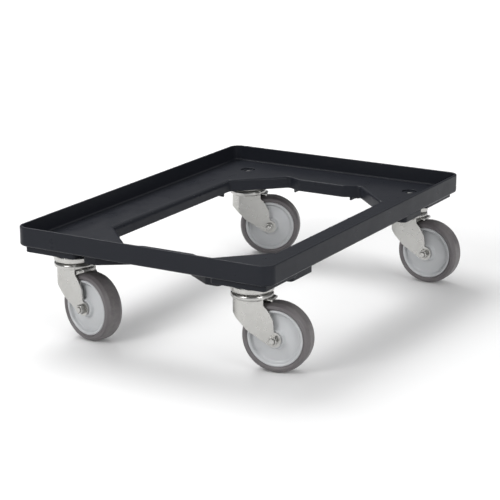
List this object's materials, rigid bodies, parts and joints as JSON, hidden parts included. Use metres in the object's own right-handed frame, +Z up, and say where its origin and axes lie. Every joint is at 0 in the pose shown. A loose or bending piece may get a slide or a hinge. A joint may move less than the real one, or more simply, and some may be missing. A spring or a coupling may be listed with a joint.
{
  "type": "container transport dolly",
  "caption": "Open-deck moulded plastic frame with a raised rim and diagonal corner gussets, carried on swivel casters, for rolling containers that stand inside the rim.",
  "frame": {"origin": "on the floor, at the middle of the bounding box of the whole dolly with its casters at rest; the moulded frame's own middle stands 13.5 mm from it towards +Y, because the front wheels trail out past the frame", "axes": "+X along the long sides, +Y across the dolly, +Z up from the floor to the open side that takes the container"},
  "size_m": [0.62, 0.447, 0.168],
  "materials": {
    "plastic": "satin, lightly polished moulded surface",
    "zinc": "zinc plated pressed steel, satin",
    "steel": "bright bare steel",
    "hub": "smooth satin moulded plastic",
    "tyre": "non-marking grey tyre, matt"
  },
  "bodies": {
    "frame": {"frame_moulding": "plastic", "mount_bolt_front_left": "steel", "mount_washer_front_left": "zinc", "fixed_race_front_left": "zinc", "king_nut_front_left": "zinc", "mount_bolt_front_right": "steel", "mount_washer_front_right": "zinc", "fixed_race_front_right": "zinc", "king_nut_front_right": "zinc", "mount_bolt_rear_left": "steel", "mount_washer_rear_left": "zinc", "fixed_race_rear_left": "zinc", "king_nut_rear_left": "zinc", "mount_bolt_rear_right": "steel", "mount_washer_rear_right": "zinc", "fixed_race_rear_right": "zinc", "king_nut_rear_right": "zinc"},
    "swivel_front_left": {"fork_front_left": "zinc", "upper_ball_ring_front_left": "steel", "lower_ball_ring_front_left": "steel", "axle_bolt_front_left": "zinc", "axle_nut_front_left": "zinc", "axle_sleeve_front_left": "steel"},
    "wheel_front_left": {"wheel_hub_front_left": "hub", "tyre_front_left": "tyre"},
    "swivel_front_right": {"fork_front_right": "zinc", "upper_ball_ring_front_right": "steel", "lower_ball_ring_front_right": "steel", "axle_bolt_front_right": "zinc", "axle_nut_front_right": "zinc", "axle_sleeve_front_right": "steel"},
    "wheel_front_right": {"wheel_hub_front_right": "hub", "tyre_front_right": "tyre"},
    "swivel_rear_left": {"fork_rear_left": "zinc", "upper_ball_ring_rear_left": "steel", "lower_ball_ring_rear_left": "steel", "axle_bolt_rear_left": "zinc", "axle_nut_rear_left": "zinc", "axle_sleeve_rear_left": "steel"},
    "wheel_rear_left": {"wheel_hub_rear_left": "hub", "tyre_rear_left": "tyre"},
    "swivel_rear_right": {"fork_rear_right": "zinc", "upper_ball_ring_rear_right": "steel", "lower_ball_ring_rear_right": "steel", "axle_bolt_rear_right": "zinc", "axle_nut_rear_right": "zinc", "axle_sleeve_rear_right": "steel"},
    "wheel_rear_right": {"wheel_hub_rear_right": "hub", "tyre_rear_right": "tyre"}
  },
  "joints": [
    {"name": "front_left_swivel", "type": "hinge", "parent": "frame", "child": "swivel_front_left", "pos_m": [-0.25, -0.1355, 0.115], "axis": [0, 0, 1], "continuous": true},
    {"name": "front_left_wheel", "type": "hinge", "parent": "swivel_front_left", "child": "wheel_front_left", "pos_m": [-0.2434, -0.17292, 0.05], "axis": [0.9848, 0.1736, 0], "continuous": true},
    {"name": "front_right_swivel", "type": "hinge", "parent": "frame", "child": "swivel_front_right", "pos_m": [0.25, -0.1355, 0.115], "axis": [0, 0, 1], "continuous": true},
    {"name": "front_right_wheel", "type": "hinge", "parent": "swivel_front_right", "child": "wheel_front_right", "pos_m": [0.25, -0.1735, 0.05], "axis": [1, 0, 0], "continuous": true},
    {"name": "rear_left_swivel", "type": "hinge", "parent": "frame", "child": "swivel_rear_left", "pos_m": [-0.25, 0.1625, 0.115], "axis": [0, 0, 1], "continuous": true},
    {"name": "rear_left_wheel", "type": "hinge", "parent": "swivel_rear_left", "child": "wheel_rear_left", "pos_m": [-0.25919, 0.12563, 0.05], "axis": [0.9703, -0.2419, 0], "continuous": true},
    {"name": "rear_right_swivel", "type": "hinge", "parent": "frame", "child": "swivel_rear_right", "pos_m": [0.25, 0.1625, 0.115], "axis": [0, 0, 1], "continuous": true},
    {"name": "rear_right_wheel", "type": "hinge", "parent": "swivel_rear_right", "child": "wheel_rear_right", "pos_m": [0.26546, 0.12779, 0.05], "axis": [0.9135, 0.4067, 0], "continuous": true}
  ]
}
